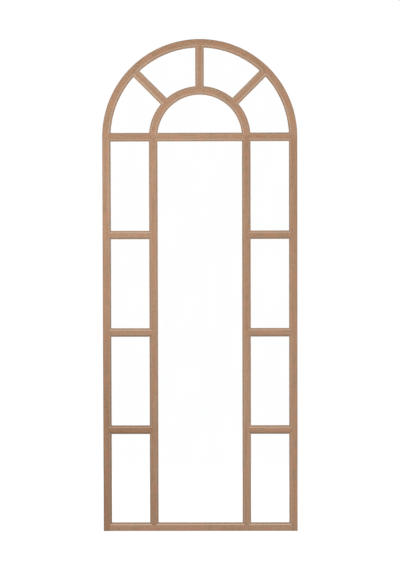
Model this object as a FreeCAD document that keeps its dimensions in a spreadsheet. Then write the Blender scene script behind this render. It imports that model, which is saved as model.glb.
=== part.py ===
"""Arched window mirror: a timber window frame with fourteen mirror panes and a boarded back.

Millimetres. +X is to the right seen from the front, +Y runs to the wall behind and +Z is up.
The origin is on the floor face, the frame's underside, at mid width and at the timber's mid depth.

Stiles, bottom rail and arch make the frame. Inside it the mullions and the inner arch make a hoop,
and the transom, side bars and spokes are scribed between hoop and frame. Each pane sits in
rebates behind the timber's stepped front lip, and one board screwed on from behind holds them all.
"""
import FreeCAD, Part
import os
import re
from collections import defaultdict

import Sketcher
from FreeCAD import Placement, Rotation, Vector

SIZES = {
    # the frame seen from the front
    "overall_width": 712,
    "overall_height": 1800,
    "frame_face": 30,
    "bar_face": 31,
    "mullion_spacing": 340,
    # the timber's section, from the front face to the back
    "lip_depth": 8,
    "glass_thickness": 4,
    "board_thickness": 3,
    "board_recess": 7,
    "glass_rebate": 7,
    "board_rebate": 14,
    "inner_chamfer": 3.5,
    "ledge_width": 4.5,
    "ledge_step": 1,
    "outer_round": 2.5,
    "back_arris": 1,
    # fitting gaps in the rebates
    "glass_gap": 1,
    "board_gap": 1,
    # dowels: glued pegs that join the timber
    "dowel_diameter": 5,
    "dowel_length": 22,
    "dowel_depth": 5.4,
    "bar_dowel_spacing": 9,
    "foot_dowel_inset": 14,
    "foot_dowel_spacing": 12,
    "head_dowel_inset": 10,
    "head_dowel_spacing": 8,
    "glue_gap": 0.05,
    "end_gap": 1,
    # pan-head screws, for the board and the hangers
    "screw_diameter": 3,
    "screw_length": 10,
    "screw_head_diameter": 6,
    "screw_head_height": 1.8,
    "screw_head_round": 0.8,
    "screw_slot_width": 0.9,
    "screw_slot_length": 3.6,
    "screw_slot_depth": 1,
    "screw_hole_gap": 0.2,
    "board_screw_inset": 9,
    # hangers: a folded strap and a D-shaped ring on the back of each stile
    "hanger_drop": 114,
    "hanger_inset": 10,
    "strap_width": 12,
    "strap_length": 46,
    "strap_thickness": 1.2,
    "strap_corner": 4,
    "strap_screw_drop": 27,
    "strap_screw_spacing": 12,
    "ring_wire": 2.4,
    "ring_bore_gap": 0.08,
    "ring_inner_width": 14,
    "ring_bend": 2,
    "ring_reach": 20,
    # wall pads at the foot of the back
    "pad_diameter": 12,
    "pad_tip_diameter": 10,
    "pad_height": 5,
    "pad_inset": 8,
    "pad_lift": 40,
}

# Sizes that follow from the ones above.
FORMULAS = {
    "frame_depth": "lip_depth + glass_thickness + board_thickness + board_recess",
    "front": "-frame_depth / 2",
    "ledge_front": "front + inner_chamfer + ledge_step",
    "glass_front": "front + lip_depth",
    "glass_back": "glass_front + glass_thickness",
    "back": "frame_depth / 2",
    "arch_radius": "overall_width / 2",
    "spring_height": "overall_height - arch_radius",
    "sight_edge": "arch_radius - frame_face",
    "hoop_radius": "mullion_spacing / 2",
    "bar_half": "bar_face / 2",
    "row_base": "frame_face / 2",
    "row_pitch": "(spring_height - row_base) / side_rows",
    "tongue_half": "bar_half - glass_rebate",
    "bar_to_glass": "tongue_half + glass_gap",
    "edge_to_glass": "frame_face - glass_rebate + glass_gap",
    "edge_to_board": "frame_face - board_rebate + board_gap",
    "edge_to_screws": "frame_face - board_screw_inset",
    "dowel_line": "front + dowel_depth",
    "hanger_height": "spring_height - hanger_drop",
    "knuckle_radius": "ring_wire / 2 + ring_bore_gap + strap_thickness",
    "ring_leg": "(ring_inner_width + ring_wire) / 2",
}

SIDE_ROWS = 4        # panes one above another beside each mullion
FAN_PANES = 4        # panes between the inner and the outer arch
ARCH_SEGMENTS = 3    # lengths of timber that make up each arch
STRAP_SCREWS = 2     # screws in each hanger strap
COUNTS = {"side_rows": SIDE_ROWS}

UP = Vector(0, 0, 1)
DEPTH = Vector(0, 1, 0)
ACROSS = Vector(1, 0, 0)

doc = FreeCAD.newDocument("arched_window_mirror")
sheet = doc.addObject("Spreadsheet::Sheet", "sizes")
for row, (alias, value) in enumerate(SIZES.items(), start=1):
    sheet.set(f"A{row}", alias)
    sheet.set(f"B{row}", str(value))
    sheet.setAlias(f"B{row}", alias)
doc.recompute()


# ---------------------------------------------------------------- helpers

def expand(text):
    """Write a formula out in the sheet's own cells."""
    def cell(match):
        word = match.group(0)
        if word in FORMULAS:
            return "(" + expand(FORMULAS[word]) + ")"
        if word in COUNTS:
            return str(COUNTS[word])
        return "sizes." + word if word in SIZES else word
    return re.sub(r"[a-z_]+", cell, text)


def size(text):
    """The present value of a formula."""
    value = sheet.evalExpression(expand(text))
    return float(getattr(value, "Value", value))


def bind(thing, **formulas):
    """Tie properties of an object to formulas."""
    for name, text in formulas.items():
        thing.setExpression(name, expand(text))


def place(thing, x="0", y="0", z="0", turn=None, axis=DEPTH):
    """Put an object at (x, y, z), turned about the depth axis unless another is given."""
    if turn is not None:
        thing.Placement = Placement(Vector(), Rotation(axis, 1))
        thing.setExpression("Placement.Rotation.Angle", expand(turn))
    for letter, text in (("x", x), ("y", y), ("z", z)):
        thing.setExpression(f"Placement.Base.{letter}", expand(text))
    return thing


def new_body(name):
    return doc.addObject("PartDesign::Body", name)


def new_sketch(body, plane):
    """An empty sketch on one of the body's own origin planes."""
    sketch = body.newObject("Sketcher::SketchObject", body.Name + "_sketch")
    support = next(f for f in body.Origin.OriginFeatures if f.Role == plane)
    sketch.AttachmentSupport = [(support, "")]
    sketch.MapMode = "FlatFace"
    return sketch


def fix(sketch, kind, *where, text):
    """Add a dimension to a sketch and tie it to a formula."""
    index = sketch.addConstraint(Sketcher.Constraint(kind, *where, size(text)))
    sketch.setExpression(f"Constraints[{index}]", expand(text))


def outline(body, plane, corners, arcs=None):
    """A closed outline. arcs maps the number of a corner to the arc that leaves it:
    (centre x, centre y, radius, turns left)."""
    sketch = new_sketch(body, plane)
    arcs = arcs or {}
    points = [Vector(size(x), size(y), 0) for x, y in corners]
    ends = []
    for number, start in enumerate(points):
        finish = points[(number + 1) % len(points)]
        if number not in arcs:
            sketch.addGeometry(Part.LineSegment(start, finish))
            ends.append((1, 2))
            continue
        centre_x, centre_y, radius, turns_left = arcs[number]
        centre = Vector(size(centre_x), size(centre_y), 0)
        first, last = (start, finish) if turns_left else (finish, start)
        angles = [(point - centre).getAngle(ACROSS) * (1 if point.y >= centre.y else -1)
                  for point in (first, last)]
        circle = Part.Circle(centre, UP, size(radius))
        sketch.addGeometry(Part.ArcOfCircle(circle, *angles))
        ends.append((1, 2) if turns_left else (2, 1))
    for number in range(len(points)):
        after = (number + 1) % len(points)
        sketch.addConstraint(Sketcher.Constraint("Coincident", number, ends[number][1],
                                                 after, ends[after][0]))
    for number, (x, y) in enumerate(corners):
        fix(sketch, "DistanceX", -1, 1, number, ends[number][0], text=x)
        fix(sketch, "DistanceY", -1, 1, number, ends[number][0], text=y)
    for number, (_, _, radius, _) in arcs.items():
        fix(sketch, "Radius", number, text=radius)
    return sketch


def circles(body, plane, centres, radius):
    """A sketch of equal circles."""
    sketch = new_sketch(body, plane)
    for number, (x, y) in enumerate(centres):
        sketch.addGeometry(Part.Circle(Vector(size(x), size(y), 0), UP, size(radius)))
        fix(sketch, "DistanceX", -1, 1, number, 3, text=x)
        fix(sketch, "DistanceY", -1, 1, number, 3, text=y)
        fix(sketch, "Radius", number, text=radius)
    return sketch


def pad(body, sketch, length, reverse=False, midplane=False):
    feature = body.newObject("PartDesign::Pad", body.Name + "_pad")
    feature.Profile = sketch
    feature.Reversed = reverse
    feature.Midplane = midplane
    bind(feature, Length=length)
    return feature


def pocket(body, sketch):
    """Cut the sketch right through, both ways."""
    feature = body.newObject("PartDesign::Pocket", body.Name + "_pocket")
    feature.Profile = sketch
    feature.Midplane = True
    feature.Type = "ThroughAll"
    return feature


def compound(name, links):
    group = doc.addObject("Part::Compound", name)
    group.Links = links
    return group


def fused(name, shapes):
    joined = doc.addObject("Part::MultiFuse", name)
    joined.Shapes = shapes
    return joined


def cut(name, base, tool):
    left = doc.addObject("Part::Cut", name)
    left.Base = base
    left.Tool = tool
    return left


def mirrored(name, source):
    """The same thing on the other side of the centre line."""
    copy = doc.addObject("Part::Mirroring", name)
    copy.Source = source
    copy.Normal = ACROSS
    return copy


nodes = []


def node(thing, label):
    """Hand a finished piece over under its own name."""
    thing.Label = label
    nodes.append(thing)
    return thing


# ---------------------------------------------------------------- timber blanks

def frame_section(edge="0"):
    """Stile, rail and arch: rounded outside, chamfered and stepped down to a ledge inside,
    rebated for glass and board. The outer edge is at edge, and the section runs inwards along +X."""
    across = [
        ("outer_round", "front"),
        ("frame_face - ledge_width - inner_chamfer", "front"),
        ("frame_face - ledge_width", "front + inner_chamfer"),
        ("frame_face - ledge_width", "ledge_front"),
        ("frame_face", "ledge_front"),
        ("frame_face", "glass_front"),
        ("frame_face - glass_rebate", "glass_front"),
        ("frame_face - glass_rebate", "glass_back"),
        ("frame_face - board_rebate", "glass_back"),
        ("frame_face - board_rebate", "back"),
        ("back_arris", "back"),
        ("0", "back - back_arris"),
        ("0", "front + outer_round"),
    ]
    corners = [(f"{edge} + {x}", y) for x, y in across]
    round_centre = (f"{edge} + outer_round", "front + outer_round")
    return corners, {len(corners) - 1: (*round_centre, "outer_round", True)}


def bar_section(middle="0"):
    """Mullion, transom, side bar, spoke and inner arch: a chamfered front, a ledge on each side
    and a narrower tongue that stands between two panes of glass."""
    half = [
        ("bar_half - ledge_width - inner_chamfer", "front"),
        ("bar_half - ledge_width", "front + inner_chamfer"),
        ("bar_half - ledge_width", "ledge_front"),
        ("bar_half", "ledge_front"),
        ("bar_half", "glass_front"),
        ("tongue_half", "glass_front"),
        ("tongue_half", "glass_back"),
    ]
    right = [(f"{middle} + ({x})", y) for x, y in half]
    left = [(f"{middle} - ({x})", y) for x, y in reversed(half)]
    return right + left, None


def straight(name, section, length, x="0", z="0", turn=None):
    """A straight length of timber, upright unless it is turned about the depth axis."""
    body = new_body(name)
    pad(body, outline(body, "XY_Plane", *section), length)
    return place(body, x=x, z=z, turn=turn)


def curved(name, section, angle, turn="0"):
    """A length of timber bent round the arches' common centre, starting at the left."""
    body = new_body(name)
    sketch = outline(body, "XY_Plane", *section)
    turned = body.newObject("PartDesign::Revolution", body.Name + "_turned")
    turned.Profile = sketch
    turned.ReferenceAxis = (sketch, ["V_Axis"])
    bind(turned, Angle=angle)
    return place(body, z="spring_height", turn=turn)


def polar(radius, angle):
    """The point of the front view at a radius and angle from the arches' centre."""
    return f"({radius}) * cos({angle})", f"spring_height + ({radius}) * sin({angle})"


stile_blank = straight("stile_blank", frame_section(), "spring_height", x="-arch_radius")
rail_blank = straight("rail_blank", frame_section(), "overall_width - frame_face",
                      x="arch_radius - frame_face / 2", turn="-90")
arch_blank = curved("arch_blank", frame_section("-arch_radius"), "180")
mullion_blank = straight("mullion_blank", bar_section(), "spring_height - row_base",
                         x="-hoop_radius", z="row_base")
hoop_blank = curved("hoop_blank", bar_section("-hoop_radius"), "180")

frame_tool = fused("frame_tool", [stile_blank, arch_blank])
hoop_tool = fused("hoop_tool", [mullion_blank, mirrored("right_mullion_blank", mullion_blank),
                                hoop_blank])
left_tool = compound("left_tool", [frame_tool, hoop_tool])
arch_tool = compound("arch_tool", [arch_blank, hoop_blank])
stiles_tool = compound("stiles_tool", [stile_blank, mirrored("right_stile_blank", stile_blank)])


# ---------------------------------------------------------------- dowels and screws

# What belongs to the left half is mirrored later; what lies in the middle or goes round the
# arches is made whole.
dowels = {"frame": {"left": [], "middle": []}, "bar": {"left": [], "middle": []}}
screws = {"board": {"left": [], "middle": []}, "strap": {"left": []}}
holes = {"left": defaultdict(list), "middle": defaultdict(list)}


def peg(name, x, z, turn, aside, radius, length):
    """A round peg whose middle is at (x, z), set aside square to its own direction."""
    rod = doc.addObject("Part::Cylinder", name)
    bind(rod, Radius=radius, Height=length)
    along = f"({length}) / 2"
    return place(rod, x=f"{x} - {along} * cos({turn}) - ({aside}) * sin({turn})", y="dowel_line",
                 z=f"{z} - {along} * sin({turn}) + ({aside}) * cos({turn})", turn=f"90 - ({turn})")


def dowel_joint(name, x, z, turn, group, joins, side="left", spacing=None):
    """One dowel, or two with a spacing, and their holes in the timber that they join.
    turn is the dowels' direction, counted from +X towards +Z."""
    asides = [f"-{spacing} / 2", f"{spacing} / 2"] if spacing else ["0"]
    for number, aside in enumerate(asides, start=1):
        dowels[group][side].append(
            peg(f"{name}_dowel_{number}", x, z, turn, aside, "dowel_diameter / 2", "dowel_length"))
        hole = peg(f"{name}_hole_{number}", x, z, turn, aside, "dowel_diameter / 2 + glue_gap",
                   "dowel_length + 2 * end_gap")
        for member in joins:
            holes[side][member].append(hole)


def screw_shape():
    """A pan-head screw that points along -Z, its head standing on z = 0, with a cross slot."""
    body = new_body("screw")
    corners = [
        ("0", "-screw_length"),
        ("screw_diameter / 2", "-screw_length + screw_diameter / 2"),
        ("screw_diameter / 2", "0"),
        ("screw_head_diameter / 2", "0"),
        ("screw_head_diameter / 2", "screw_head_height - screw_head_round"),
        ("screw_head_diameter / 2 - screw_head_round", "screw_head_height"),
        ("0", "screw_head_height"),
    ]
    rim = ("screw_head_diameter / 2 - screw_head_round", "screw_head_height - screw_head_round",
           "screw_head_round", True)
    profile = outline(body, "XZ_Plane", corners, {4: rim})
    turned = body.newObject("PartDesign::Revolution", "screw_turned")
    turned.Profile = profile
    turned.ReferenceAxis = (profile, ["V_Axis"])
    slots = []
    for name, length, width in (("slot", "screw_slot_length", "screw_slot_width"),
                                ("cross", "screw_slot_width", "screw_slot_length")):
        box = doc.addObject("Part::Box", name)
        bind(box, Length=length, Width=width, Height="screw_slot_depth")
        slots.append(place(box, x=f"-{length} / 2", y=f"-{width} / 2",
                           z="screw_head_height - screw_slot_depth"))
    return cut("pan_head_screw", body, fused("cross_slot", slots))


def screw(name, x, z, seat, group, drills, side="left"):
    """A screw from behind, its head on the plane y = seat, and its hole."""
    link = doc.addObject("App::Link", name)
    link.LinkedObject = screw_master
    screws[group][side].append(place(link, x=x, y=seat, z=z, turn="-90", axis=ACROSS))
    hole = doc.addObject("Part::Cylinder", name + "_hole")
    bind(hole, Radius="screw_diameter / 2 + glue_gap", Height="screw_length + 2 * end_gap")
    place(hole, x=x, y=f"{seat} + end_gap", z=z, turn="90", axis=ACROSS)
    for member in drills:
        holes[side][member].append(hole)


def hole_tool(member, whole=True):
    """All the holes in a member, or those of its left half alone."""
    links = list(holes["middle"][member]) if whole else []
    if holes["left"][member]:
        left = compound(f"{member}_left_holes", holes["left"][member])
        links += [left, mirrored(f"{member}_right_holes", left)] if whole else [left]
    return compound(f"{member}_holes", links)


def grouped(name, family):
    """Like fasteners of both halves and the middle as one group."""
    left = compound(f"{name}_left", family["left"])
    return compound(f"{name}_all", family["middle"] + [left, mirrored(f"{name}_right", left)])


screw_master = screw_shape()
row_heights = [f"row_base + {number} * row_pitch" for number in range(1, SIDE_ROWS + 1)]
row_names = [f"side_bar_{number}" for number in range(1, SIDE_ROWS)] + ["transom"]
spoke_angles = [f"{number} * 180 / {FAN_PANES}" for number in range(1, FAN_PANES)]
segment_angle = f"180 / {ARCH_SEGMENTS}"

dowel_joint("foot", "-sight_edge", "foot_dowel_inset", "0", "frame", ["stile", "rail"],
            spacing="foot_dowel_spacing")
dowel_joint("head", "-(arch_radius - head_dowel_inset)", "spring_height", "90", "frame",
            ["stile", "arch"], spacing="head_dowel_spacing")
dowel_joint("mullion_foot", "-hoop_radius", "frame_face", "90", "bar", ["mullion", "rail"],
            spacing="bar_dowel_spacing")
dowel_joint("mullion_head", "-hoop_radius", "spring_height", "90", "bar",
            ["mullion", "inner_arch"])
for name, height in zip(row_names, row_heights):
    at_spring = name == "transom"    # its dowels also hold the arches down on stile and mullion
    dowel_joint(f"{name}_outer", "-sight_edge", height, "0", "bar",
                [name, "stile"] + ["arch"] * at_spring, spacing="bar_dowel_spacing")
    dowel_joint(f"{name}_inner", "-(hoop_radius + bar_half)", height, "0", "bar",
                [name, "mullion"] + ["inner_arch"] * at_spring, spacing="bar_dowel_spacing")
dowel_joint("transom_middle", "-(hoop_radius - bar_half)", "spring_height", "0", "bar",
            ["transom_middle", "mullion", "inner_arch"], spacing="bar_dowel_spacing")
for number, angle in enumerate(spoke_angles, start=1):
    for member, radius in (("inner_arch", "hoop_radius + bar_half"), ("arch", "sight_edge")):
        dowel_joint(f"spoke_{number}_{member}", *polar(radius, angle), angle, "bar",
                    [f"spoke_{number}", member], side="middle", spacing="bar_dowel_spacing")
for number in range(1, ARCH_SEGMENTS):
    angle = f"{number} * {segment_angle}"
    tangent = f"{angle} + 90"
    dowel_joint(f"arch_{number}", *polar("arch_radius - foot_dowel_inset", angle), tangent,
                "frame", ["arch"], side="middle", spacing="foot_dowel_spacing")
    dowel_joint(f"inner_arch_{number}", *polar("hoop_radius", angle), tangent,
                "bar", ["inner_arch"], side="middle", spacing="bar_dowel_spacing")

# Screws hold the board to the frame and to the hoop, at the middle of each side and fan pane.
board_seat = "glass_back + board_thickness"
for upright, ring, radius in (("stile", "arch", "arch_radius - edge_to_screws"),
                              ("mullion", "inner_arch", "hoop_radius")):
    for number in range(SIDE_ROWS):
        screw(f"{upright}_screw_{number + 1}", f"-({radius})",
              f"row_base + ({number} + 1 / 2) * row_pitch", board_seat, "board",
              [upright, "board"])
    for number in range(FAN_PANES):
        screw(f"{ring}_screw_{number + 1}", *polar(radius, f"({number} + 1 / 2) * 180 / {FAN_PANES}"),
              board_seat, "board", [ring, "board"], side="middle")
screw("rail_screw", "-(sight_edge + hoop_radius) / 2", "edge_to_screws", board_seat, "board",
      ["rail", "board"])
screw("rail_middle_screw", "0", "edge_to_screws", board_seat, "board", ["rail", "board"],
      side="middle")
for number in range(STRAP_SCREWS):
    screw(f"strap_screw_{number + 1}", "-(arch_radius - hanger_inset)",
          f"hanger_height - strap_screw_drop - {number} * strap_screw_spacing",
          "back + strap_thickness", "strap", ["stile", "arch"])


# ---------------------------------------------------------------- timber pieces

def finish(label, blank, drill, scribe=None):
    """Scribe a blank over the timber that it meets, drill it and hand it over."""
    piece = cut(label + "_scribed", blank, scribe) if scribe else blank
    return node(cut(label + "_drilled", piece, drill), label)


def pair(name, blank, scribe=None):
    """A left-hand piece and its mirror image on the right."""
    left = finish("left_" + name, blank, hole_tool(name, whole=False), scribe)
    node(mirrored("right_" + name, left), "right_" + name)


pair("stile", stile_blank)
finish("bottom_rail", rail_blank, hole_tool("rail"), stiles_tool)
for family, section in (("arch", frame_section("-arch_radius")),
                        ("inner_arch", bar_section("-hoop_radius"))):
    drill = hole_tool(family)
    for number in range(ARCH_SEGMENTS):
        segment = f"{family}_segment_{number + 1}"
        blank = curved(segment + "_blank", section, segment_angle,
                       turn=f"{number} * {segment_angle}")
        finish(segment, blank, drill)

pair("mullion", mullion_blank, rail_blank)
between = "arch_radius - frame_face / 2 - hoop_radius"
for name, height in zip(row_names, row_heights):
    pair(name, straight(name + "_blank", bar_section(), between,
                        x="-(arch_radius - frame_face / 2)", z=height, turn="90"), left_tool)
finish("transom_middle", straight("transom_middle_blank", bar_section(), "mullion_spacing",
                                  x="-hoop_radius", z="spring_height", turn="90"),
       hole_tool("transom_middle"), hoop_tool)
for number, angle in enumerate(spoke_angles, start=1):
    start_x, start_z = polar("hoop_radius", angle)
    spoke = f"spoke_{number}"
    finish(spoke, straight(spoke + "_blank", bar_section(), between, x=start_x, z=start_z,
                           turn=f"90 - ({angle})"), hole_tool(spoke), arch_tool)

for group, family in dowels.items():
    node(grouped(f"{group}_dowels", family), f"{group}_dowels")


# ---------------------------------------------------------------- mirror panes

def pane(label, corners, arcs=None, x="0", z="0", turn=None):
    """A flat pane of mirror glass in the rebates behind the lip."""
    body = new_body(label + "_glass")
    pad(body, outline(body, "XZ_Plane", corners, arcs), "glass_thickness", reverse=True)
    return node(place(body, x=x, y="glass_front", z=z, turn=turn), label)


def rectangle(left, right, bottom, top):
    return [(left, bottom), (right, bottom), (right, top), (left, top)]


side_width = "arch_radius - edge_to_glass - hoop_radius - bar_to_glass"
for side, sign in (("left", "-"), ("right", "")):
    for number in range(1, SIDE_ROWS + 1):
        low = "edge_to_glass" if number == 1 else f"{row_heights[number - 2]} + bar_to_glass"
        high = f"{row_heights[number - 1]} - bar_to_glass"
        middle = f"{sign}(arch_radius - edge_to_glass + hoop_radius + bar_to_glass) / 2"
        pane(f"{side}_pane_{number}",
             rectangle(f"-({side_width}) / 2", f"({side_width}) / 2", "0", f"{high} - ({low})"),
             x=middle, z=low)
pane("tall_pane", rectangle("-(hoop_radius - bar_to_glass)", "hoop_radius - bar_to_glass",
                            "edge_to_glass", "spring_height - bar_to_glass"))

# The half-round pane stands on the transom, inside the inner arch.
inside = "hoop_radius - bar_to_glass"
half_chord = f"sqrt(({inside}) * ({inside}) - bar_to_glass * bar_to_glass)"
pane("half_round_pane", [(f"-({half_chord})", "bar_to_glass"), (half_chord, "bar_to_glass")],
     {1: ("0", "0", inside, True)}, z="spring_height")


def fan_corner(radius, angle, way):
    """The corner of a fan pane: on a circle, and clear of the spoke at the angle."""
    shifted = f"{angle} {way} asin(bar_to_glass / ({radius}))"
    return f"({radius}) * cos({shifted})", f"({radius}) * sin({shifted})"


fan_inner = "hoop_radius + bar_to_glass"
fan_outer = "arch_radius - edge_to_glass"
fan_angle = f"180 deg / {FAN_PANES}"
for number in range(FAN_PANES):
    corners = [fan_corner(fan_outer, "0 deg", "+"), fan_corner(fan_outer, fan_angle, "-"),
               fan_corner(fan_inner, fan_angle, "-"), fan_corner(fan_inner, "0 deg", "+")]
    pane(f"fan_pane_{number + 1}", corners,
         {0: ("0", "0", fan_outer, True), 2: ("0", "0", fan_inner, False)},
         z="spring_height", turn=f"({number + 1} - {FAN_PANES}) * {fan_angle}")


# ---------------------------------------------------------------- backboard and its screws

board_half = "arch_radius - edge_to_board"
board = new_body("board")
board_outline = [(f"-({board_half})", "edge_to_board"), (board_half, "edge_to_board"),
                 (board_half, "spring_height"), ("0", f"spring_height + {board_half}"),
                 (f"-({board_half})", "spring_height")]
board_arc = ("0", "spring_height", board_half, True)
pad(board, outline(board, "XZ_Plane", board_outline, {2: board_arc, 3: board_arc}),
    "board_thickness", reverse=True)
place(board, y="glass_back")
node(cut("board_drilled", board, hole_tool("board")), "backboard")
node(grouped("board_screws", screws["board"]), "board_screws")


# ---------------------------------------------------------------- hangers and wall pads

def hanger_strap():
    """A flat strap folded at its top into a knuckle round the ring's straight bar.
    Its origin is on the timber's back, level with the knuckle."""
    body = new_body("strap")
    half = "strap_width / 2"
    corners = [(f"-{half}", "0"), (f"-{half}", "-strap_length + strap_corner"),
               (f"-{half} + strap_corner", "-strap_length"),
               (f"{half} - strap_corner", "-strap_length"),
               (half, "-strap_length + strap_corner"), (half, "0")]
    arcs = {1: (f"-{half} + strap_corner", "-strap_length + strap_corner", "strap_corner", True),
            3: (f"{half} - strap_corner", "-strap_length + strap_corner", "strap_corner", True)}
    pad(body, outline(body, "XZ_Plane", corners, arcs), "strap_thickness", reverse=True)
    knuckle = [("knuckle_radius", "0")]
    pad(body, circles(body, "YZ_Plane", knuckle, "knuckle_radius"), "strap_width", midplane=True)
    pocket(body, circles(body, "YZ_Plane", knuckle, "ring_wire / 2 + ring_bore_gap"))
    drops = [f"-(strap_screw_drop + {number} * strap_screw_spacing)"
             for number in range(STRAP_SCREWS)]
    pocket(body, circles(body, "XZ_Plane", [("0", drop) for drop in drops],
                         "screw_diameter / 2 + screw_hole_gap"))
    return place(body, x="-(arch_radius - hanger_inset)", y="back", z="hanger_height")


def hanger_ring():
    """A D-shaped ring of round wire, hanging from its straight bar at the origin."""
    body = new_body("ring")
    path = outline(body, "XZ_Plane", [
        ("0", "0"), ("-(ring_leg - ring_bend)", "0"), ("-ring_leg", "-ring_bend"),
        ("-ring_leg", "ring_leg - ring_reach"), ("0", "-ring_reach"),
        ("ring_leg", "ring_leg - ring_reach"), ("ring_leg", "-ring_bend"),
        ("ring_leg - ring_bend", "0")], {
        1: ("-(ring_leg - ring_bend)", "-ring_bend", "ring_bend", True),
        3: ("0", "ring_leg - ring_reach", "ring_leg", True),
        4: ("0", "ring_leg - ring_reach", "ring_leg", True),
        6: ("ring_leg - ring_bend", "-ring_bend", "ring_bend", True)})
    wire = body.newObject("PartDesign::AdditivePipe", "ring_wire_pipe")
    wire.Profile = circles(body, "YZ_Plane", [("0", "0")], "ring_wire / 2")
    wire.Spine = (path, [])
    return place(body, x="-(arch_radius - hanger_inset)", y="back + knuckle_radius",
                 z="hanger_height")


def wall_pad():
    """A tapered rubber pad on the back of the stile's foot."""
    cone = doc.addObject("Part::Cone", "pad")
    bind(cone, Radius1="pad_diameter / 2", Radius2="pad_tip_diameter / 2", Height="pad_height")
    return place(cone, x="-(arch_radius - pad_inset)", y="back", z="pad_lift", turn="-90",
                 axis=ACROSS)


for name, piece in (("hanger_strap", hanger_strap()), ("hanger_ring", hanger_ring()),
                    ("strap_screws", compound("strap_screw_set", screws["strap"]["left"])),
                    ("wall_pad", wall_pad())):
    node(piece, "left_" + name)
    node(mirrored("right_" + name, piece), "right_" + name)


# ---------------------------------------------------------------- checks and files

doc.recompute()
for thing in doc.Objects:
    if {"Invalid", "Error"} & set(thing.State):
        raise RuntimeError(f"{thing.Label} did not build: {thing.State}")

os.makedirs("parts", exist_ok=True)
for thing in nodes:
    shape = thing.Shape
    if shape.isNull() or not shape.isValid() or shape.Volume <= 0:
        raise RuntimeError(f"{thing.Label} has no sound solid")
for thing in nodes:
    thing.Shape.exportStep(f"parts/{thing.Label}.step")
    print(f"{thing.Label:22s} {len(thing.Shape.Solids):3d} solids {thing.Shape.Volume / 1000:10.2f} cm3")
print(len(nodes), "nodes")
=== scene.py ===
"""Looks of the arched window mirror: stained timber, mirror glass, the boarded back and its fittings.

Metres, in the same frame as the solids: +X to the right seen from the front, +Y towards the wall
behind, +Z up, with the floor at z = 0.
"""
import math

import bpy
from mathutils import Matrix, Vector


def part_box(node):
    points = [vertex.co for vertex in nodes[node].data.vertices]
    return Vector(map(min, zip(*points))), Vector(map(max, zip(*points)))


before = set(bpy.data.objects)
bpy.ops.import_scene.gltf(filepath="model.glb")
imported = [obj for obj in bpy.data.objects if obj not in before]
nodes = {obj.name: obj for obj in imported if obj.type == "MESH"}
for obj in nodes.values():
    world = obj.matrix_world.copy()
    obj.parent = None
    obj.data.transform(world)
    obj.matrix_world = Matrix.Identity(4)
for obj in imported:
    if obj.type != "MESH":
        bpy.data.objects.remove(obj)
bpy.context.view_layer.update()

# Facts of the piece that the finishes go by.
SPRING_HEIGHT = 1.444        # centre of both arches
FRONT = -0.011               # front face of the timber
LEDGE_DEPTH = 0.0045         # how far the ledge round each pane lies behind that face
ARCH_RADIUS = 0.356          # outer radius of the arch, half the width of the frame
ROUND = 0.0025               # radius of the frame's rounded outer edge
HALF_TURNED = 0.7071         # the forward part of the chamfer's normal, at 45 degrees
SOFT_EDGE = 0.0009           # radius to which the shading of timber, metal and rubber rounds edges

# Where the Mix node keeps its two colours and its result.
MIX_FIRST, MIX_SECOND, MIX_RESULT = 6, 7, 2

NOISE_MIDDLE = 0.5
WHITE = (1.0, 1.0, 1.0, 1.0)
BLACK = (0.0, 0.0, 0.0, 1.0)


# ---------------------------------------------------------------- node trees

def srgb(red, green, blue):
    """A colour given in screen values from 0 to 255, as the linear colour that shaders take."""
    def linear(value):
        value /= 255
        return value / 12.92 if value <= 0.04045 else ((value + 0.055) / 1.055) ** 2.4
    return (linear(red), linear(green), linear(blue), 1)


def feed(tree, socket, value):
    """Set an input, or join it to the output that feeds it. None leaves it alone."""
    if isinstance(value, bpy.types.NodeSocket):
        tree.links.new(value, socket)
    elif value is not None:
        socket.default_value = value


def fill(tree, node, **inputs):
    """Feed a node's inputs by name, with _ for a space. Gives the node."""
    for name, value in inputs.items():
        feed(tree, node.inputs[name.replace("_", " ")], value)
    return node


def fill_in_order(tree, node, *values):
    """Feed a node's first inputs. Gives the node."""
    for socket, value in zip(node.inputs, values):
        feed(tree, socket, value)
    return node


def add(tree, kind, settings=None, **inputs):
    """A shader node with its settings and inputs."""
    made = tree.nodes.new("ShaderNode" + kind)
    for name, value in (settings or {}).items():
        setattr(made, name, value)
    return fill(tree, made, **inputs)


def reckon(tree, operation, *values, clamp=False):
    """Arithmetic on one to three values."""
    made = add(tree, "Math", {"operation": operation, "use_clamp": clamp})
    return fill_in_order(tree, made, *values).outputs[0]


def reckon_vector(tree, operation, *values):
    """Arithmetic on one to three vectors. Gives the outputs, Vector and Value."""
    made = add(tree, "VectorMath", {"operation": operation})
    return fill_in_order(tree, made, *values).outputs


def blend(tree, share, first, second, how="MIX"):
    """A mix of two colours."""
    made = add(tree, "Mix", {"data_type": "RGBA", "blend_type": how}, Factor=share)
    feed(tree, made.inputs[MIX_FIRST], first)
    feed(tree, made.inputs[MIX_SECOND], second)
    return made.outputs[MIX_RESULT]


def spread(tree, value, low, high, to_low=0.0, to_high=1.0):
    """Bring the range low to high to another range, clamped, with soft ends."""
    made = add(tree, "MapRange", {"interpolation_type": "SMOOTHSTEP"}, Value=value,
               From_Min=low, From_Max=high, To_Min=to_low, To_Max=to_high)
    return made.outputs[0]


def noise(tree, vector, scale, detail, stretch=None):
    """A noise value. With a stretch below 1 it varies more slowly along Z."""
    if stretch is not None:
        vector = reckon_vector(tree, "MULTIPLY", vector, (1.0, 1.0, stretch))["Vector"]
    return add(tree, "TexNoise", Vector=vector, Scale=scale, Detail=detail).outputs[0]


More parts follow.
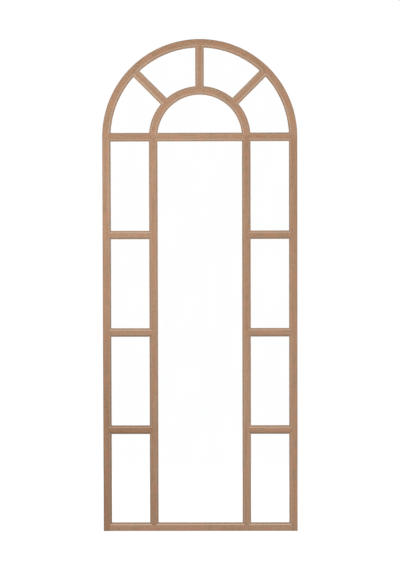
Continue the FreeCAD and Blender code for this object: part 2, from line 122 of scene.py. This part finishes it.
def group_tree(name, inputs, outputs):
    """A shader node group with named sockets. Gives its tree, its inputs and its output node."""
    tree = bpy.data.node_groups.new(name, "ShaderNodeTree")
    for direction, sockets in (("INPUT", inputs), ("OUTPUT", outputs)):
        for label, kind in sockets.items():
            tree.interface.new_socket(name=label, in_out=direction,
                                      socket_type="NodeSocket" + kind)
    return tree, tree.nodes.new("NodeGroupInput").outputs, tree.nodes.new("NodeGroupOutput")


def place_group(tree, group, **inputs):
    """One use of a group, with its own values. Gives its outputs."""
    made = tree.nodes.new("ShaderNodeGroup")
    made.node_tree = group
    return fill(tree, made, **inputs).outputs


def finish_material(name):
    """A new material with its shader. Gives material, tree and shader."""
    material = bpy.data.materials.new(name)
    material.use_nodes = True
    return material, material.node_tree, material.node_tree.nodes["Principled BSDF"]


def own_place(tree, turn=0.0, shift=(0.0, 0.0, 0.0)):
    """Object coordinates turned about the depth axis by turn degrees, and shifted."""
    place = add(tree, "TexCoord").outputs["Object"]
    mapping = add(tree, "Mapping", Vector=place, Location=shift,
                  Rotation=(0.0, math.radians(turn), 0.0))
    return mapping.outputs[0]


def parts_of(tree, vector):
    """A vector's X, Y and Z."""
    return add(tree, "SeparateXYZ", Vector=vector).outputs


def relief(tree, height, depth, strength, normal=None):
    """A bump of a depth in metres."""
    return add(tree, "Bump", Height=height, Distance=depth, Strength=strength,
               Normal=normal).outputs[0]


# ---------------------------------------------------------------- effects shared by finishes

def grain_group():
    """Wood grain along Z: growth bands, fibres, short pores, fine mottling and rosy patches."""
    tree, given, out = group_tree(
        "wood_grain",
        {"Vector": "Vector", "Pale": "Color", "Deep": "Color", "Rosy": "Color",
         "Mottling": "Float", "Pores": "Float"},
        {"Color": "Color", "Height": "Float", "Roughness": "Float"})
    wander = (0.02, 0.02, 0.0)               # how far the grain sways across the board
    band_gain, fibre_gain = 1.3, 0.8         # how strongly each varies the tone
    rosy_share, pore_share = 0.6, 0.22       # how far each shows where it is strongest
    fibre_height, pore_roughness = 0.6, 0.1  # beside a pore's depth of 1, and above the fibres'
    pore_colour = (0.12, 0.07, 0.04, 1.0)

    sway = add(tree, "TexNoise", Vector=given["Vector"], Scale=5.0, Detail=1.0).outputs["Color"]
    along = reckon_vector(tree, "MULTIPLY_ADD", sway, wander, given["Vector"])["Vector"]
    bands = noise(tree, along, scale=110.0, detail=2.0, stretch=0.045)
    fibres = noise(tree, along, scale=1300.0, detail=2.0, stretch=0.03)
    pores = spread(tree, noise(tree, along, scale=800.0, detail=1.0, stretch=0.06), 0.60, 0.70)
    mottle = noise(tree, given["Vector"], scale=190.0, detail=3.0)
    patches = spread(tree, noise(tree, given["Vector"], scale=38.0, detail=3.0), 0.42, 0.66)

    def off_middle(value):
        """How far a noise value lies above or below its middle."""
        return reckon(tree, "SUBTRACT", value, NOISE_MIDDLE)

    share = reckon(tree, "MULTIPLY_ADD", off_middle(bands), band_gain, NOISE_MIDDLE)
    fine = reckon(tree, "MULTIPLY", off_middle(fibres), fibre_gain)
    spots = reckon(tree, "MULTIPLY", off_middle(mottle), given["Mottling"])
    share = reckon(tree, "ADD", share, reckon(tree, "ADD", fine, spots), clamp=True)
    pits = reckon(tree, "MULTIPLY", pores, given["Pores"])
    colour = blend(tree, share, given["Deep"], given["Pale"])
    colour = blend(tree, reckon(tree, "MULTIPLY", patches, rosy_share), colour, given["Rosy"])
    colour = blend(tree, reckon(tree, "MULTIPLY", pits, pore_share), colour, pore_colour)
    height = reckon(tree, "SUBTRACT", reckon(tree, "MULTIPLY", fibres, fibre_height), pits)
    rough = reckon(tree, "ADD", spread(tree, fibres, 0.3, 0.7, 0.46, 0.62),
                   reckon(tree, "MULTIPLY", pores, pore_roughness))
    fill(tree, out, Color=colour, Height=height, Roughness=rough)
    return tree


def edge_group():
    """Softened edges: a normal rounded over the edges, and a mask of where they are rubbed."""
    tree, given, out = group_tree(
        "edge_wear",
        {"Vector": "Vector", "Patchiness": "Float"},
        {"Normal": "Vector", "Mask": "Float"})
    rounded = add(tree, "Bevel", {"samples": 6}, Radius=SOFT_EDGE).outputs[0]
    flat = add(tree, "NewGeometry").outputs["Normal"]
    facing = reckon_vector(tree, "DOT_PRODUCT", rounded, flat)["Value"]
    edge = spread(tree, facing, 0.998, 0.93)
    worn = spread(tree, noise(tree, given["Vector"], given["Patchiness"], detail=3.0), 0.35, 0.6)
    fill(tree, out, Normal=rounded, Mask=reckon(tree, "MULTIPLY", edge, worn))
    return tree


def moulding_group():
    """The moulding round the panes: how pale its chamfer is painted, a painted highlight that goes by
    the way it looks, and how grey the ledge beyond it is painted, as painted shade above and below
    the member's middle height. The chamfer looks half forwards and half aside, and the ledge looks
    forwards but lies deeper than the face. Rim is a mask of the frame's rounded outer edge, where
    shade is painted."""
    tree, given, out = group_tree(
        "moulding",
        {"Upper": "Float", "Side": "Float", "Lower": "Float", "Middle": "Float",
         "Ledge Above": "Float", "Ledge Below": "Float"},
        {"Pale": "Float", "Ledge": "Float", "Rim": "Float"})
    straight_on = 0.95                       # the least forward part of the ledge's normal

    looks = parts_of(tree, add(tree, "NewGeometry").outputs["True Normal"])
    forward = reckon(tree, "MULTIPLY", looks["Y"], -1.0)
    off = reckon(tree, "ABSOLUTE", reckon(tree, "SUBTRACT", forward, HALF_TURNED))
    chamfer = spread(tree, off, 0.10, 0.05)
    upright = looks["Z"]
    # Painted highlight: how pale each chamfer is made goes by whether it looks up, aside or down.
    ways = {"Upper": spread(tree, upright, 0.1, 0.6), "Lower": spread(tree, upright, -0.1, -0.6),
            "Side": spread(tree, reckon(tree, "ABSOLUTE", upright), 0.6, 0.1)}
    share = 0.0
    for way, mask in ways.items():
        share = reckon(tree, "ADD", share, reckon(tree, "MULTIPLY", mask, given[way]))

    place = parts_of(tree, own_place(tree))
    # Painted shade: the ledge lies deeper than the face, and is made greyer above or below the
    # middle.
    deeper = reckon(tree, "GREATER_THAN", place["Y"], FRONT + LEDGE_DEPTH / 2)
    ledge = reckon(tree, "MULTIPLY", reckon(tree, "GREATER_THAN", forward, straight_on), deeper)
    above = reckon(tree, "GREATER_THAN", place["Z"], given["Middle"])
    below = reckon(tree, "SUBTRACT", 1.0, above)
    grey = reckon(tree, "ADD", reckon(tree, "MULTIPLY", above, given["Ledge Above"]),
                  reckon(tree, "MULTIPLY", below, given["Ledge Below"]))

    # The way in from the outline: from the arch above the spring line, from the sides below it,
    # and from the foot.
    rise = reckon(tree, "MAXIMUM", reckon(tree, "SUBTRACT", place["Z"], SPRING_HEIGHT), 0.0)
    aside = reckon(tree, "MULTIPLY", place["X"], place["X"])
    reach = reckon(tree, "SQRT", reckon(tree, "ADD", aside, reckon(tree, "MULTIPLY", rise, rise)))
    inwards = reckon(tree, "MINIMUM", reckon(tree, "SUBTRACT", ARCH_RADIUS, reach), place["Z"])
    rim = reckon(tree, "MULTIPLY", spread(tree, inwards, 1.4 * ROUND, 0.6 * ROUND),
                 spread(tree, place["Y"], FRONT + 2 * ROUND, FRONT + ROUND))
    fill(tree, out, Pale=reckon(tree, "MULTIPLY", chamfer, share),
         Ledge=reckon(tree, "MULTIPLY", ledge, grey), Rim=rim)
    return tree


def dust_group():
    """Fine dust: thicker on faces that look up, in small clouds."""
    tree, given, out = group_tree(
        "settled_dust",
        {"Vector": "Vector", "Amount": "Float", "Scale": "Float"},
        {"Mask": "Float"})
    looks = parts_of(tree, add(tree, "NewGeometry").outputs["Normal"])
    upward = spread(tree, looks["Z"], 0.2, 1.0, 0.12, 1.0)
    clouds = spread(tree, noise(tree, given["Vector"], given["Scale"], detail=4.0), 0.35, 0.7)
    mask = reckon(tree, "MULTIPLY", reckon(tree, "MULTIPLY", upward, clouds), given["Amount"])
    fill(tree, out, Mask=mask)
    return tree


grain = grain_group()
edge_wear = edge_group()
moulding = moulding_group()
settled_dust = dust_group()


# ---------------------------------------------------------------- finishes

GRAIN_STEPS = (0.371, 0.113, 0.537)      # from one member's place in the grain to the next one's
GREEN_POWER, BLUE_POWER = 1.3, 1.6       # a darker tone loses more green, and more blue still
# Painted shade, on the rounded outer edge and on the ledges round the panes.
RIM_SHADE_TINT = (0.84, 0.85, 0.87, 1.0)
LEDGE_SHADE_TINT = (0.60, 0.72, 0.78, 1.0)


def board_tone(tree, colour, foot, head):
    """How light a board is made, from the floor to the height of the spring line: partly its own
    tone, partly painted light and shade falling off along it. Where it is darker, it is also a little
    warmer."""
    # Gives a tone as a colour, warmer where darker. The tones hold painted light and shade as well as
    # each board's own tone.
    def stain(tone):
        return (tone, tone ** GREEN_POWER, tone ** BLUE_POWER, 1.0)

    height = parts_of(tree, own_place(tree))["Z"]
    tones = blend(tree, spread(tree, height, 0.0, SPRING_HEIGHT), stain(foot), stain(head))
    return blend(tree, 1.0, colour, tones, "MULTIPLY")


def stained_timber(member, direction, number, tone, chamfers, ledges):
    """Matt tan stain on one member, with a painted highlight on its chamfers and painted shade on its
    ledges and rounded outer edge. Its grain runs in a direction in degrees from +X, and its
    number gives it a place of its own in the pattern."""
    rubbed, rubbed_share, chamfer_highlight = srgb(205, 174, 146), 0.35, srgb(222, 198, 177)
    material, tree, shader = finish_material(f"stained_{member}")
    place = own_place(tree, direction - 90, [number * step for step in GRAIN_STEPS])
    wood = place_group(tree, grain, Vector=place, Pale=srgb(188, 154, 127),
                       Deep=srgb(156, 122, 96), Rosy=srgb(186, 139, 109), Mottling=1.6, Pores=1.0)
    edge = place_group(tree, edge_wear, Vector=place, Patchiness=45.0)
    upper, side, lower = chamfers
    ledge_above, ledge_below = ledges
    lowest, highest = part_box(member)
    profile = place_group(tree, moulding, Upper=upper, Side=side, Lower=lower,
                          Middle=(lowest[2] + highest[2]) / 2, Ledge_Above=ledge_above,
                          Ledge_Below=ledge_below)
    colour = blend(tree, reckon(tree, "MULTIPLY", edge["Mask"], rubbed_share), wood["Color"],
                   rubbed)
    # Painted shade on the frame's rounded outer edge.
    colour = blend(tree, profile["Rim"], colour, RIM_SHADE_TINT, "MULTIPLY")
    # Painted shade on the ledges round the panes.
    colour = blend(tree, profile["Ledge"], colour, LEDGE_SHADE_TINT, "MULTIPLY")
    # Painted highlight: the chamfers are painted paler, more or less by the way they look.
    colour = blend(tree, profile["Pale"], colour, chamfer_highlight)
    fill(tree, shader, Base_Color=board_tone(tree, colour, *tone), Roughness=wood["Roughness"],
         Specular_IOR_Level=0.35,
         Normal=relief(tree, wood["Height"], depth=0.00012, strength=0.6, normal=edge["Normal"]))
    return material


def dowel_beech():
    """Plain beech pegs."""
    material, tree, shader = finish_material("beech_peg")
    wood = place_group(tree, grain, Vector=own_place(tree), Pale=srgb(226, 196, 158),
                       Deep=srgb(205, 168, 128), Rosy=srgb(216, 172, 136), Mottling=0.6,
                       Pores=0.6)
    fill(tree, shader, Base_Color=wood["Color"], Roughness=wood["Roughness"],
         Normal=relief(tree, wood["Height"], depth=0.0001, strength=0.5))
    return material


def mirror_glass():
    """Silvered glass: clean, with the faintest wipe marks, and green at its cut edges."""
    material, tree, shader = finish_material("silvered_glass")
    looks = parts_of(tree, add(tree, "NewGeometry").outputs["Normal"])
    cut_edge = spread(tree, reckon(tree, "ABSOLUTE", looks["Y"]), 0.9, 0.5)
    wiped = noise(tree, own_place(tree), scale=14.0, detail=4.0, stretch=0.35)
    silver = blend(tree, spread(tree, wiped, 0.3, 0.75), (0.995, 0.998, 0.996, 1.0),
                   (0.982, 0.988, 0.986, 1.0))
    fill(tree, shader, Base_Color=blend(tree, cut_edge, silver, srgb(120, 160, 146)),
         Metallic=1.0, Roughness=spread(tree, wiped, 0.45, 0.8, 0.006, 0.035))
    return material


def hardboard():
    """Pressed wood fibre: brown, speckled, with the fine mesh print of its rough side, and a
    little dust."""
    speck_share, fibre_height = 0.5, 1.4
    material, tree, shader = finish_material("pressed_fibre")
    place = own_place(tree)
    fibres = noise(tree, place, scale=420.0, detail=4.0)
    specks = spread(tree, noise(tree, place, scale=900.0, detail=1.0), 0.62, 0.72)
    clouds = noise(tree, place, scale=9.0, detail=4.0)
    dust = place_group(tree, settled_dust, Vector=place, Amount=0.5, Scale=18.0)["Mask"]
    colour = blend(tree, spread(tree, fibres, 0.3, 0.7), srgb(116, 86, 60), srgb(146, 113, 83))
    colour = blend(tree, spread(tree, clouds, 0.35, 0.7, 0.0, 0.45), colour, srgb(128, 93, 66))
    colour = blend(tree, reckon(tree, "MULTIPLY", specks, speck_share), colour, srgb(88, 62, 42))
    colour = blend(tree, dust, colour, srgb(176, 160, 142))

    def wires(turn):
        """One set of the mesh's wires, turned by an angle in degrees."""
        turned = add(tree, "Mapping", Vector=place, Rotation=(0.0, math.radians(turn), 0.0))
        waves = add(tree, "TexWave", {"wave_type": "BANDS", "bands_direction": "X"},
                    Vector=turned.outputs[0], Scale=120.0, Distortion=0.6, Detail=1.0)
        return waves.outputs["Fac"]

    height = reckon(tree, "ADD", reckon(tree, "MULTIPLY", wires(0), wires(90)),
                    reckon(tree, "MULTIPLY", fibres, fibre_height))
    fill(tree, shader, Base_Color=colour, Roughness=spread(tree, fibres, 0.3, 0.7, 0.72, 0.9),
         Specular_IOR_Level=0.3, Normal=relief(tree, height, depth=0.00018, strength=0.55))
    return material


def zinc_plate():
    """Bright zinc plate on steel: soft blotches, fine rub marks and brighter edges."""
    bright, bright_share = srgb(226, 226, 224), 0.6
    material, tree, shader = finish_material("zinc_plate")
    place = own_place(tree)
    blotches = noise(tree, place, scale=260.0, detail=3.0)
    rubs = noise(tree, place, scale=2600.0, detail=2.0, stretch=0.08)
    edge = place_group(tree, edge_wear, Vector=place, Patchiness=300.0)
    colour = blend(tree, spread(tree, blotches, 0.35, 0.68), srgb(186, 186, 180),
                   srgb(206, 204, 194))
    colour = blend(tree, reckon(tree, "MULTIPLY", edge["Mask"], bright_share), colour, bright)
    rough = reckon(tree, "ADD", spread(tree, blotches, 0.3, 0.7, 0.26, 0.40),
                   spread(tree, rubs, 0.45, 0.75, 0.0, 0.12))
    fill(tree, shader, Base_Color=colour, Metallic=1.0, Roughness=rough,
         Normal=relief(tree, rubs, depth=0.00003, strength=0.4, normal=edge["Normal"]))
    return material


def pad_rubber():
    """Matt black rubber with a moulded grain, rubbed edges and a little dust."""
    rubbed, rubbed_share = srgb(84, 82, 80), 0.4
    material, tree, shader = finish_material("pad_rubber")
    place = own_place(tree)
    pebbles = noise(tree, place, scale=2400.0, detail=2.0)
    dust = place_group(tree, settled_dust, Vector=place, Amount=0.6, Scale=220.0)["Mask"]
    edge = place_group(tree, edge_wear, Vector=place, Patchiness=400.0)
    colour = blend(tree, spread(tree, pebbles, 0.35, 0.7), srgb(34, 34, 35), srgb(48, 47, 47))
    colour = blend(tree, reckon(tree, "MULTIPLY", edge["Mask"], rubbed_share), colour, rubbed)
    colour = blend(tree, dust, colour, srgb(120, 114, 106))
    fill(tree, shader, Base_Color=colour, Roughness=spread(tree, pebbles, 0.3, 0.7, 0.68, 0.86),
         Normal=relief(tree, pebbles, depth=0.00006, strength=0.5, normal=edge["Normal"]))
    return material


def dress(names, material):
    """Give solids a finish."""
    for name in names:
        slots = nodes[name].data.materials
        slots.clear()
        slots.append(material)


# Timber members and the direction of their grain, in degrees from +X seen from the front.
# Each length of an arch is cut from a straight board, so its grain runs along its chord.
timber = {"bottom_rail": 0, "transom_middle": 0}
for side in ("left", "right"):
    timber.update({f"{side}_stile": 90, f"{side}_mullion": 90, f"{side}_transom": 0})
    timber.update({f"{side}_side_bar_{number}": 0 for number in (1, 2, 3)})
for number, direction in ((1, 60), (2, 0), (3, -60)):
    timber.update({f"arch_segment_{number}": direction,
                   f"inner_arch_segment_{number}": direction})
timber.update({f"spoke_{number}": number * 45 for number in (1, 2, 3)})

# How light each board is made, at the floor and at the spring line: partly its own tone, partly
# painted light and shade falling off along it. The boards that aren't named here have the even tone.
EVEN_TONE = (0.96, 0.96)
board_tones_and_painted_light = {
    "left_stile": (0.835, 0.975), "right_stile": (1.0, 0.89), "right_mullion": (1.03, 0.90),
    "left_mullion": (0.925, 0.94), "left_transom": (0.88, 0.88), "left_side_bar_1": (0.81, 0.81),
    "arch_segment_2": (0.92, 0.92), "right_transom": (0.93, 0.93), "bottom_rail": (1.06, 1.06),
    "right_side_bar_3": (0.935, 0.935),
}

# How far the chamfers are painted pale, as a painted highlight, where they look up, aside and down.
BAR_CHAMFERS = (0.62, 0.40, 0.30)
ARCH_CHAMFERS = (0.45, 0.55, 0.62)
SPOKE_CHAMFERS = (0.60, 0.60, 0.90)

# How far the ledge is painted grey, as painted shade in the recess, above and below the middle of the
# member.
EVEN_LEDGES = (0.20, 0.20)
BAR_LEDGES = (0.20, 0.65)
SHADED_LEDGES = (0.60, 0.60)


def chamfers_of(member):
    """A member's painted chamfer highlights. The transoms take those of the arches that stand on
    them, and stiles, rail and mullions those of the side bars."""
    if "arch" in member or "transom" in member:
        return ARCH_CHAMFERS
    return SPOKE_CHAMFERS if "spoke" in member else BAR_CHAMFERS


def ledges_of(member):
    """A member's painted ledge shade, darker on the left stile and below the side bars."""
    if member == "left_stile":
        return SHADED_LEDGES
    return BAR_LEDGES if "side_bar" in member else EVEN_LEDGES


for number, (member, direction) in enumerate(sorted(timber.items())):
    dress([member], stained_timber(member, direction, number, board_tones_and_painted_light.get(member, EVEN_TONE),
                                   chamfers_of(member), ledges_of(member)))
dress(["frame_dowels", "bar_dowels"], dowel_beech())
dress([name for name in nodes if "_pane" in name], mirror_glass())
dress(["backboard"], hardboard())
dress([name for name in nodes if "screws" in name or "hanger" in name], zinc_plate())
dress(["left_wall_pad", "right_wall_pad"], pad_rubber())


# ---------------------------------------------------------------- floor, light and camera

def seen_directly(tree):
    """1 for rays from the eye and for reflections, 0 for the light that falls on things."""
    path = add(tree, "LightPath").outputs
    seen = reckon(tree, "MAXIMUM", path["Is Camera Ray"], path["Is Glossy Ray"])
    seen = reckon(tree, "MAXIMUM", seen, path["Is Transmission Ray"])
    return reckon(tree, "MULTIPLY", seen, reckon(tree, "LESS_THAN", path["Diffuse Depth"], 0.5))


def pale_floor():
    """A wide floor that reads white. Its glow is so light that the mirror's shadow hardly shows."""
    half = 30.0
    pools_end, glow_rise = (0.8, 1.8), (0.7, 1.6)    # by the distance from the mirror's foot
    near_glow = 0.87
    corners = [(-half, -half, 0), (half, -half, 0), (half, half, 0), (-half, half, 0)]
    mesh = bpy.data.meshes.new("floor")
    mesh.from_pydata(corners, [], [(0, 1, 2, 3)])
    floor = bpy.data.objects.new("floor", mesh)
    bpy.context.scene.collection.objects.link(floor)

    material, tree, shader = finish_material("pale_floor")
    place = own_place(tree)
    away = reckon_vector(tree, "LENGTH", place)["Value"]
    seen = seen_directly(tree)
    tone = spread(tree, noise(tree, place, scale=3.0, detail=3.0), 0.3, 0.7)
    plain = blend(tree, tone, srgb(146, 146, 145), srgb(150, 150, 149))
    # Far from the mirror the floor to look at is the glow alone, with no lamp pools on it.
    far = reckon(tree, "MULTIPLY", seen, spread(tree, away, *pools_end))
    fill(tree, shader, Base_Color=blend(tree, far, plain, BLACK), Roughness=0.9,
         Specular_IOR_Level=0.0)
    level = spread(tree, away, *glow_rise, near_glow, 1.0)
    glow = add(tree, "Emission", Strength=reckon(tree, "MULTIPLY", seen, level))
    both = fill_in_order(tree, add(tree, "AddShader"), shader.outputs[0], glow.outputs[0])
    fill(tree, tree.nodes["Material Output"], Surface=both.outputs[0])
    mesh.materials.append(material)


def white_surround(level):
    """A world that is white to look at and lights at a plain level."""
    world = bpy.data.worlds.new("surround")
    world.use_nodes = True
    tree = world.node_tree
    strength = reckon(tree, "MULTIPLY_ADD", seen_directly(tree), 1.0 - level, level)
    fill(tree, tree.nodes["Background"], Color=WHITE, Strength=strength)
    bpy.context.scene.world = world


def lamp(name, place, radius, power):
    """A soft round light that neither the camera nor the glass sees, its power in watts."""
    data = bpy.data.lights.new(name, "POINT")
    data.shadow_soft_size = radius
    data.energy = power
    made = bpy.data.objects.new(name, data)
    made.location = place
    made.visible_camera = False
    made.visible_glossy = False
    bpy.context.scene.collection.objects.link(made)


def photo_camera():
    """The photograph's view: standing about 6 m off, slightly right of the middle."""
    focal_pixels, long_side = 1638.4, 570       # of the photograph, in its pixels
    place = (0.058, -6.0, 1.064)
    tilt, pan, roll = 0.0268, 0.0097, 0.0025    # radians: down, to the left, clockwise
    data = bpy.data.cameras.new("camera")
    data.sensor_width = 36.0
    data.lens = focal_pixels * data.sensor_width / long_side
    camera = bpy.data.objects.new("camera", data)
    bpy.context.scene.collection.objects.link(camera)
    camera.matrix_world = (Matrix.Translation(place)
                           @ Matrix.Rotation(pan, 4, "Z")
                           @ Matrix.Rotation(math.pi / 2 - tilt, 4, "X")
                           @ Matrix.Rotation(-roll, 4, "Z"))
    bpy.context.scene.camera = camera


pale_floor()
white_surround(level=0.35)
lamp("key_light", (-0.42, -0.75, 1.26), radius=0.12, power=5.2)
lamp("fill_light", (0.18, -3.44, 1.30), radius=0.35, power=285.0)
lamp("back_light", (0.60, 3.20, 1.90), radius=0.40, power=230.0)
photo_camera()
bpy.context.scene.view_settings.view_transform = "Standard"
